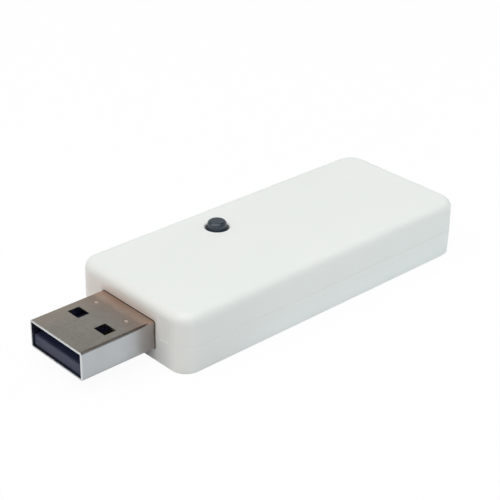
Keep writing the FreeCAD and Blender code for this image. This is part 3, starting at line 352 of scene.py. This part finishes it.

# The plug's colours: its sides and top, the top's far edge, the brown towards the case on both,
# its brown dimples and the cut edge round its mouth. The top's colours, its far edge, the brown
# and the dimples are painted reflections; the cut edge is lighter partly as a painted highlight

PLUG_SIDES = ((0.46, 0.475, 0.492), (0.49, 0.506, 0.527))
PLUG_TOPS = ((0.545, 0.52, 0.465), (0.63, 0.59, 0.55))
FAR_TOP_REFLECTION = (0.71, 0.62, 0.54)
BROWN_SIDE = (0.345, 0.30, 0.275)
BROWN_TOP = (0.495, 0.325, 0.25)
DIMPLE_BROWN_REFLECTION = (0.42, 0.33, 0.27)
CUT_EDGE_AND_HIGHLIGHT = (0.73, 0.735, 0.74)

# Colours of the other finishes

INSULATOR_DARKS = ((0.018, 0.022, 0.050), (0.034, 0.039, 0.080))
INSULATOR_DUST = (0.115, 0.135, 0.29)
BUTTON_DARKS = ((0.022, 0.035, 0.052), (0.036, 0.051, 0.074))
SOLDER_MASK = ((0.018, 0.13, 0.055), (0.024, 0.16, 0.07))
MASK_ON_COPPER = (0.045, 0.27, 0.12)
BARE_LAMINATE = ((0.36, 0.30, 0.14), (0.48, 0.41, 0.2))
TINNED = ((0.74, 0.74, 0.73), (0.62, 0.62, 0.61))

# Roughness: the range of each finish, how far a plated or soldered one goes either way, and
# what marks add to it and polish takes away

CASE_ROUGHNESS = (0.38, 0.46)
PLUG_ROUGHNESS = (0.17, 0.22)
INSULATOR_ROUGHNESS = (0.34, 0.48)
BUTTON_ROUGHNESS = (0.26, 0.36)
BOARD_ROUGHNESS = (0.32, 0.7)
MOULDING_ROUGHNESS = (0.5, 0.68)
EITHER_WAY = 0.06
SCUFFS_ADD = 0.06
PLUG_LINES_ADD = 0.05
PLATED_LINES_ADD = 0.06
WEAR_ADDS = 0.2
BUTTON_POLISH = 0.08
TIN_POLISH = 0.18


# Materials: one function for each finish, named after the record's slots

def case_plastic():
    """White moulded plastic with a fine satin texture and the odd faint scuff, paler towards the
    foot, with painted shade and light near the plug and along the joint."""
    surface = Surface(new_material("case_plastic", (0.84, 0.87, 0.85), 0.42))
    clouds = surface.noise(18 * MM, detail=3)
    colour = surface.mottled(clouds, CASE_WHITES)
    # Each tint over the white; all but the first are painted shade and light.
    for where, strength, film in CASE_TINTS:
        colour = surface.mixed(surface.times(where(surface), strength), colour, film)
    scuffs = surface.noise(0.9 * MM, detail=4, distortion=0.6,
                           coordinates=surface.stretched(0.08, 1.0, 1.0))
    marks = surface.spread(scuffs, 0.68, 0.8)
    roughness = surface.maths("ADD", surface.spread(clouds, 0.2, 0.8, *CASE_ROUGHNESS),
                              surface.times(marks, SCUFFS_ADD))
    grain = surface.noise(0.12 * MM, detail=2)
    ripple = surface.noise(1.4 * MM, detail=1)
    normal = surface.bump(grain, 0.004 * MM, 0.6)
    normal = surface.bump(ripple, 0.006 * MM, 0.35, under=normal)
    return surface.finish(Base_Color=colour, Roughness=roughness, Normal=normal)


def plug_steel():
    """Nickel plating over folded sheet: drawn lines, faint fingerprints, painted reflections on
    its top, towards the case and in its dimples, and a cut edge that is partly a painted
    highlight."""
    surface = Surface(new_material("plug_steel", (0.58, 0.57, 0.55), 0.26, metallic=1.0))
    along, across, up = surface.axes()
    cloud = surface.noise(3.5 * MM, detail=3)
    # The brown towards the case is a painted reflection of the case's shaded end, in clouds.
    film = surface.times(surface.spread(along, END_FACE - 6 * MM, END_FACE + 0.5 * MM),
                         surface.spread(cloud, 0.25, 0.75, 0.6, 1.0))
    broad = surface.spread(up, PLUG_TOP - 0.3 * MM, PLUG_TOP)
    # Top apart from the sides, warmer at its far edge: painted reflections of what each faces
    side = surface.mottled(cloud, PLUG_SIDES)
    top = surface.mottled(surface.noise(0.7 * MM, detail=4, roughness=0.65), PLUG_TOPS)
    top = surface.mixed(surface.spread(across, 1 * MM, 5 * MM, 0.0, 0.7), top, FAR_TOP_REFLECTION)
    plain_metal = surface.mixed(broad, side, top)
    brown = surface.mixed(broad, BROWN_SIDE, BROWN_TOP)
    colour = surface.mixed(film, plain_metal, brown)
    lines = surface.noise(0.12 * MM, detail=3, coordinates=surface.stretched(0.03, 1.0, 1.0))
    prints = surface.noise(1.5 * MM, detail=4, distortion=0.4)
    roughness = surface.maths("ADD", surface.spread(prints, 0.35, 0.7, *PLUG_ROUGHNESS),
                              surface.times(lines, PLUG_LINES_ADD))
    # Dimples and cut edge are rougher with wear; the dimples' brown is a painted reflection.
    for where, strength, tint in ((in_dimple(surface), 0.35, DIMPLE_BROWN_REFLECTION),
                                  (cut_rim(surface), 1.0, CUT_EDGE_AND_HIGHLIGHT)):
        roughness = surface.maths("ADD", roughness, surface.times(where, WEAR_ADDS))
        # The cut edge is lighter partly as bare steel and partly as a painted highlight.
        colour = surface.mixed(surface.times(where, strength), colour, tint)
    normal = surface.bump(lines, 0.0012 * MM, 0.3)
    return surface.finish(Base_Color=colour, Roughness=roughness, Normal=normal)


def cut_rim(surface):
    """1 on the cut edge of the sheet round the mouth, 0 behind it."""
    return surface.spread(surface.axes()[0], PLUG_TIP + 0.14 * MM, PLUG_TIP + 0.04 * MM)


def in_dimple(surface):
    """1 in the two round dimples of the shell, 0 outside them."""
    along, across, _ = surface.axes()
    forward = surface.maths("SUBTRACT", along, PLUG_TIP + DIMPLE_DISTANCE)
    sideways = surface.maths("SUBTRACT", surface.maths("ABSOLUTE", across), DIMPLE_OFFSET)
    distance = surface.length(forward, sideways)
    return surface.spread(distance, DIMPLE_RADIUS, DIMPLE_RADIUS - 0.1 * MM)


def plug_insulator_plastic():
    """Blue-black moulded plastic with a fine flow pattern, dustier deep in the mouth."""
    surface = Surface(new_material("plug_insulator_plastic", (0.03, 0.033, 0.062), 0.4,
                                   Specular_IOR_Level=0.3))
    flow = surface.noise(1.2 * MM, detail=3, coordinates=surface.stretched(1.0, 0.3, 1.0))
    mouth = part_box("plug_insulator")[0].x
    dust = surface.spread(surface.axes()[0], mouth + 0.5 * MM, mouth + 3 * MM, 0.0, 0.6)
    colour = surface.mixed(dust, surface.mixed(flow, *INSULATOR_DARKS), INSULATOR_DUST)
    grain = surface.noise(0.09 * MM)
    return surface.finish(Base_Color=colour,
                          Roughness=surface.spread(flow, 0.3, 0.7, *INSULATOR_ROUGHNESS),
                          Normal=surface.bump(grain, 0.003 * MM, 0.5))


def button_plastic():
    """Dark slate plastic, polished by fingers on top."""
    surface = Surface(new_material("button_plastic", (0.027, 0.041, 0.060), 0.22,
                                   Coat_Weight=0.35, Coat_Roughness=0.12))
    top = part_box("switch_button")[1].z
    polish = surface.spread(surface.axes()[2], top - 0.4 * MM, top)
    smear = surface.noise(0.5 * MM, detail=4, distortion=0.5)
    rough = surface.maths("SUBTRACT", surface.spread(smear, 0.3, 0.7, *BUTTON_ROUGHNESS),
                          surface.times(polish, BUTTON_POLISH))
    return surface.finish(Base_Color=surface.mixed(smear, *BUTTON_DARKS), Roughness=rough,
                          Normal=surface.bump(smear, 0.004 * MM, 0.4))


def plated(name, light, dark, roughness, grain=0.1 * MM, along="x"):
    """Plated or tinned metal with drawn lines and a mottled film."""
    surface = Surface(new_material(name, light, roughness, metallic=1.0))
    scale = (0.05, 1.0, 1.0) if along == "x" else (1.0, 0.05, 1.0)
    lines = surface.noise(grain, detail=3, coordinates=surface.stretched(*scale))
    film = surface.noise(8 * grain, detail=4, distortion=0.3)
    rough = surface.spread(film, 0.3, 0.7, roughness - EITHER_WAY, roughness + EITHER_WAY)
    rough = surface.maths("ADD", rough, surface.times(lines, PLATED_LINES_ADD))
    return surface.finish(Base_Color=surface.mottled(film, (light, dark), low=0.35),
                          Roughness=rough, Normal=surface.bump(lines, 0.0015 * MM, 0.5))


def stripes(surface, place):
    """1 on each track of an even row of them, and 0 between."""
    step = surface.maths("PINGPONG", place, TRACK_PITCH / 2)
    return surface.spread(step, 0.27 * TRACK_PITCH, 0.33 * TRACK_PITCH)


def tracks(surface):
    """1 on the copper tracks, which run along the board in some patches, across it in others,
    and are left out of the rest."""
    patch = surface.add("ShaderNodeTexVoronoi", voronoi_dimensions="2D", distance="CHEBYCHEV")
    surface.fill(patch, Vector=surface.place, Scale=1.0 / TRACK_PATCH)
    parts = surface.fill(surface.add("ShaderNodeSeparateColor"), Color=patch.outputs["Color"])
    pick = parts.outputs["Red"]
    along, across, _ = surface.axes()
    lengthways = surface.times(stripes(surface, across),
                               surface.maths("GREATER_THAN", pick, LENGTHWAYS_ABOVE))
    crossways = surface.times(stripes(surface, along),
                              surface.maths("LESS_THAN", pick, CROSSWAYS_BELOW))
    return surface.maths("MAXIMUM", lengthways, crossways)


def vias(surface):
    """1 on scattered round vias, which join the two sides of the board."""
    spots = surface.add("ShaderNodeTexVoronoi", voronoi_dimensions="2D")
    surface.fill(spots, Vector=surface.place, Scale=1.0 / VIA_SPACING)
    return surface.spread(spots.outputs["Distance"], VIA_RADIUS, 0.8 * VIA_RADIUS)


def board_laminate():
    """Green solder mask over raised tracks and vias, and bare woven laminate on the edges."""
    surface = Surface(new_material("board_laminate", (0.03, 0.2, 0.09), 0.35))
    copper = surface.maths("MAXIMUM", tracks(surface), vias(surface))
    weave = surface.noise(0.35 * MM, detail=2)
    mask = surface.mixed(copper, surface.mottled(weave, SOLDER_MASK), MASK_ON_COPPER)
    upright = surface.split(surface.add("ShaderNodeNewGeometry").outputs["Normal"])[2]
    edge = surface.spread(surface.maths("ABSOLUTE", upright), 0.9, 0.4)
    colour = surface.mixed(edge, mask, surface.mixed(weave, *BARE_LAMINATE))
    return surface.finish(Base_Color=colour,
                          Roughness=surface.spread(edge, 0, 1, *BOARD_ROUGHNESS),
                          Normal=surface.bump(copper, 0.02 * MM, 0.6))


def dark_moulding(name, light, dark, grain=0.06 * MM):
    """Filled moulding compound, faintly speckled."""
    surface = Surface(new_material(name, light, 0.6))
    speckle = surface.noise(grain, detail=3)
    return surface.finish(Base_Color=surface.mottled(speckle, (dark, light), low=0.35),
                          Roughness=surface.spread(speckle, 0.3, 0.7, *MOULDING_ROUGHNESS),
                          Normal=surface.bump(speckle, 0.004 * MM, 0.6))


def body_and_ends(name, body, speckled, metal_from, axis, centre, roughness=0.5):
    """A small soldered part: its body, and tinned metal beyond a distance from its middle."""
    surface = Surface(new_material(name, body, roughness))
    place = surface.axes()[axis]
    distance = surface.maths("ABSOLUTE", surface.maths("SUBTRACT", place, centre))
    metal = surface.maths("GREATER_THAN", distance, metal_from)
    speckle = surface.noise(0.07 * MM, detail=3)
    skin = surface.mottled(speckle, (body, speckled), low=0.35)
    tin = surface.mottled(surface.noise(0.3 * MM, detail=3), TINNED)
    rough = surface.spread(speckle, 0.3, 0.7, roughness - EITHER_WAY, roughness + EITHER_WAY)
    rough = surface.maths("SUBTRACT", rough, surface.times(metal, TIN_POLISH))
    return surface.finish(Base_Color=surface.mixed(metal, skin, tin), Roughness=rough,
                          Metallic=metal, Normal=surface.bump(speckle, 0.004 * MM, 0.5))


# Which finish each slot of the record takes

SHARED_FINISHES = {
    "case_plastic": case_plastic,
    "plug_steel": plug_steel,
    "plug_insulator_plastic": plug_insulator_plastic,
    "button_plastic": button_plastic,
    "contact_plating": lambda: plated("contact_plating", (0.70, 0.52, 0.24),
                                      (0.56, 0.40, 0.18), 0.22),
    "switch_steel": lambda: plated("switch_steel", (0.68, 0.68, 0.66), (0.56, 0.56, 0.54), 0.30),
    "terminal_plating": lambda: plated("terminal_plating", (0.80, 0.77, 0.70),
                                       (0.64, 0.60, 0.52), 0.28, along="y"),
    "shield_steel": lambda: plated("shield_steel", (0.72, 0.72, 0.70), (0.60, 0.60, 0.58), 0.34,
                                   grain=0.2 * MM),
    "board_laminate": board_laminate,
    "switch_plastic": lambda: dark_moulding("switch_plastic", (0.035, 0.035, 0.036),
                                            (0.022, 0.022, 0.023)),
}

# The small soldered parts: their body colours, how much of their half length is body, which
# chips have their leads at the ends of X and not of Y, and which parts show no metal at all, so
# that it would begin outside them

SOLDERED_LOOKS = {
    "capacitor_ceramic": ((0.42, 0.27, 0.16), (0.50, 0.34, 0.21)),
    "resistor_ceramic": ((0.03, 0.03, 0.034), (0.05, 0.05, 0.055)),
    "coil_ceramic": ((0.10, 0.10, 0.11), (0.15, 0.15, 0.16)),
    "antenna_ceramic": ((0.80, 0.80, 0.77), (0.72, 0.72, 0.69)),
    "chip_plastic": ((0.030, 0.030, 0.033), (0.045, 0.045, 0.05)),
}
BODY_SHARE = {"antenna_ceramic": 0.85, "chip_plastic": 0.78}
USUAL_BODY_SHARE = 0.64
LEADS_ALONG_X = ("surge_protector", "voltage_regulator")
ALL_BODY = ("radio_chip", "supply_coil")
OUTSIDE = 2.0


def dress(node, material):
    for slot in frame["nodes"][node].material_slots:
        slot.material = material


def dress_soldered_part(node, slot):
    """Give a small part its own copy of its finish, with the metal where its ends are."""
    low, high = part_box(node)
    if slot == "chip_plastic":
        axis = 0 if node in LEADS_ALONG_X else 1
    else:
        axis = 0 if high[0] - low[0] >= high[1] - low[1] else 1
    half = (high[axis] - low[axis]) / 2
    share = OUTSIDE if node in ALL_BODY else BODY_SHARE.get(slot, USUAL_BODY_SHARE)
    centre = (high[axis] + low[axis]) / 2
    dress(node, body_and_ends(f"{node}_finish", *SOLDERED_LOOKS[slot], share * half, axis, centre))


def dress_all():
    """Every node takes the finish that the record names for it."""
    shared = {}
    for part in frame["record"]["subparts"]:
        node, slot = part["node"], part["material_slot"]
        if slot in SOLDERED_LOOKS:
            dress_soldered_part(node, slot)
            continue
        if slot not in shared:
            shared[slot] = SHARED_FINISHES[slot]()
        dress(node, shared[slot])


# The one piece that is added: a copy of the switch's dome

def make_snap_dome():
    """The dome once more, as a piece of its own that goes with the stick, in place of the first.
    """
    stiff = frame["nodes"]["switch_dome"]
    dome = bpy.data.objects.new("snap_dome", stiff.data.copy())
    bpy.context.scene.collection.objects.link(dome)
    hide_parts("switch_dome")
    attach(dome, "stick")
    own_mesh(dome)


# Stage

def make_floor():
    """A white table, which shows the camera little more than the stick's shadow."""
    bpy.ops.mesh.primitive_plane_add(size=FLOOR_SIDE)
    floor = bpy.context.object
    floor.name = "floor"
    material = new_material("floor_white", FLOOR_COLOUR, FLOOR_ROUGHNESS)
    nodes = Nodes(material.node_tree)
    plain = nodes.tree.nodes["Principled BSDF"].outputs["BSDF"]
    bright = nodes.fill(nodes.add("ShaderNodeEmission"), Color=opaque(WHITE), Strength=1.0)
    to_camera = nodes.add("ShaderNodeLightPath").outputs["Is Camera Ray"]
    seen = nodes.blended(nodes.times(to_camera, FLOOR_WHITENESS), plain,
                         bright.outputs["Emission"])
    nodes.put(seen, nodes.tree.nodes["Material Output"].inputs["Surface"])
    floor.data.materials.append(material)


def make_room():
    """An even room all round, which the camera sees as white and polished metal as pale walls
    under a dark ceiling."""
    world = bpy.data.worlds.new("room")
    bpy.context.scene.world = world
    world.use_nodes = True
    nodes = Nodes(world.node_tree)
    room = nodes.fill(nodes.tree.nodes["Background"], Color=opaque(WHITE),
                      Strength=ROOM_BRIGHTNESS)
    white = nodes.fill(nodes.add("ShaderNodeBackground"), Color=opaque(WHITE), Strength=1.0)
    height = nodes.split(nodes.add("ShaderNodeTexCoord").outputs["Generated"])[2]
    glow = nodes.mixed(nodes.spread(height, WALL_TOP, CEILING_EDGE), WALL_GLOW, CEILING_GLOW)
    mirrored = nodes.fill(nodes.add("ShaderNodeBackground"), Color=glow, Strength=1.0)
    path = nodes.add("ShaderNodeLightPath").outputs
    lit = nodes.blended(path["Is Glossy Ray"], room.outputs["Background"],
                        mirrored.outputs["Background"])
    seen = nodes.blended(path["Is Camera Ray"], lit, white.outputs["Background"])
    nodes.put(seen, nodes.tree.nodes["World Output"].inputs["Surface"])


def make_panel(name, place, side, power, colour, mirrored=True):
    """A square light that faces the stick; mirrored says whether polished metal shows it."""
    light = bpy.data.lights.new(name, "AREA")
    light.shape = "SQUARE"
    light.size = side
    light.energy = power
    light.color = colour
    panel = bpy.data.objects.new(name, light)
    panel.location = place
    panel.rotation_euler = (-Vector(place)).to_track_quat("-Z", "Y").to_euler()
    panel.visible_glossy = mirrored
    bpy.context.scene.collection.objects.link(panel)


def make_camera():
    """The camera looks along its yaw from +Y towards +X, down by its pitch."""
    yaw, pitch, roll = (math.radians(a) for a in (CAMERA_YAW, CAMERA_PITCH, CAMERA_ROLL))
    forward = Vector((math.sin(yaw) * math.cos(pitch), math.cos(yaw) * math.cos(pitch),
                      -math.sin(pitch)))
    level = Vector((math.cos(yaw), -math.sin(yaw), 0.0))
    upward = level.cross(forward)
    right = math.cos(roll) * level + math.sin(roll) * upward
    up = -math.sin(roll) * level + math.cos(roll) * upward
    turn = Matrix((right, up, -forward)).transposed()
    data = bpy.data.cameras.new("camera")
    data.sensor_width = SENSOR_WIDTH
    data.lens = FOCAL_PIXELS / PICTURE_PIXELS * SENSOR_WIDTH
    data.clip_start = NEAREST_SEEN
    camera = bpy.data.objects.new("camera", data)
    camera.matrix_world = Matrix.Translation(CAMERA_PLACE) @ turn.to_4x4()
    bpy.context.scene.collection.objects.link(camera)
    bpy.context.scene.camera = camera


make_camera()
make_floor()
make_room()
make_panel("key", KEY_PLACE, KEY_SIDE, KEY_POWER, KEY_COLOUR)
make_panel("fill", FILL_PLACE, FILL_SIDE, FILL_POWER, FILL_COLOUR, mirrored=False)
dress_all()
make_snap_dome()
bpy.context.scene.view_settings.view_transform = "Standard"
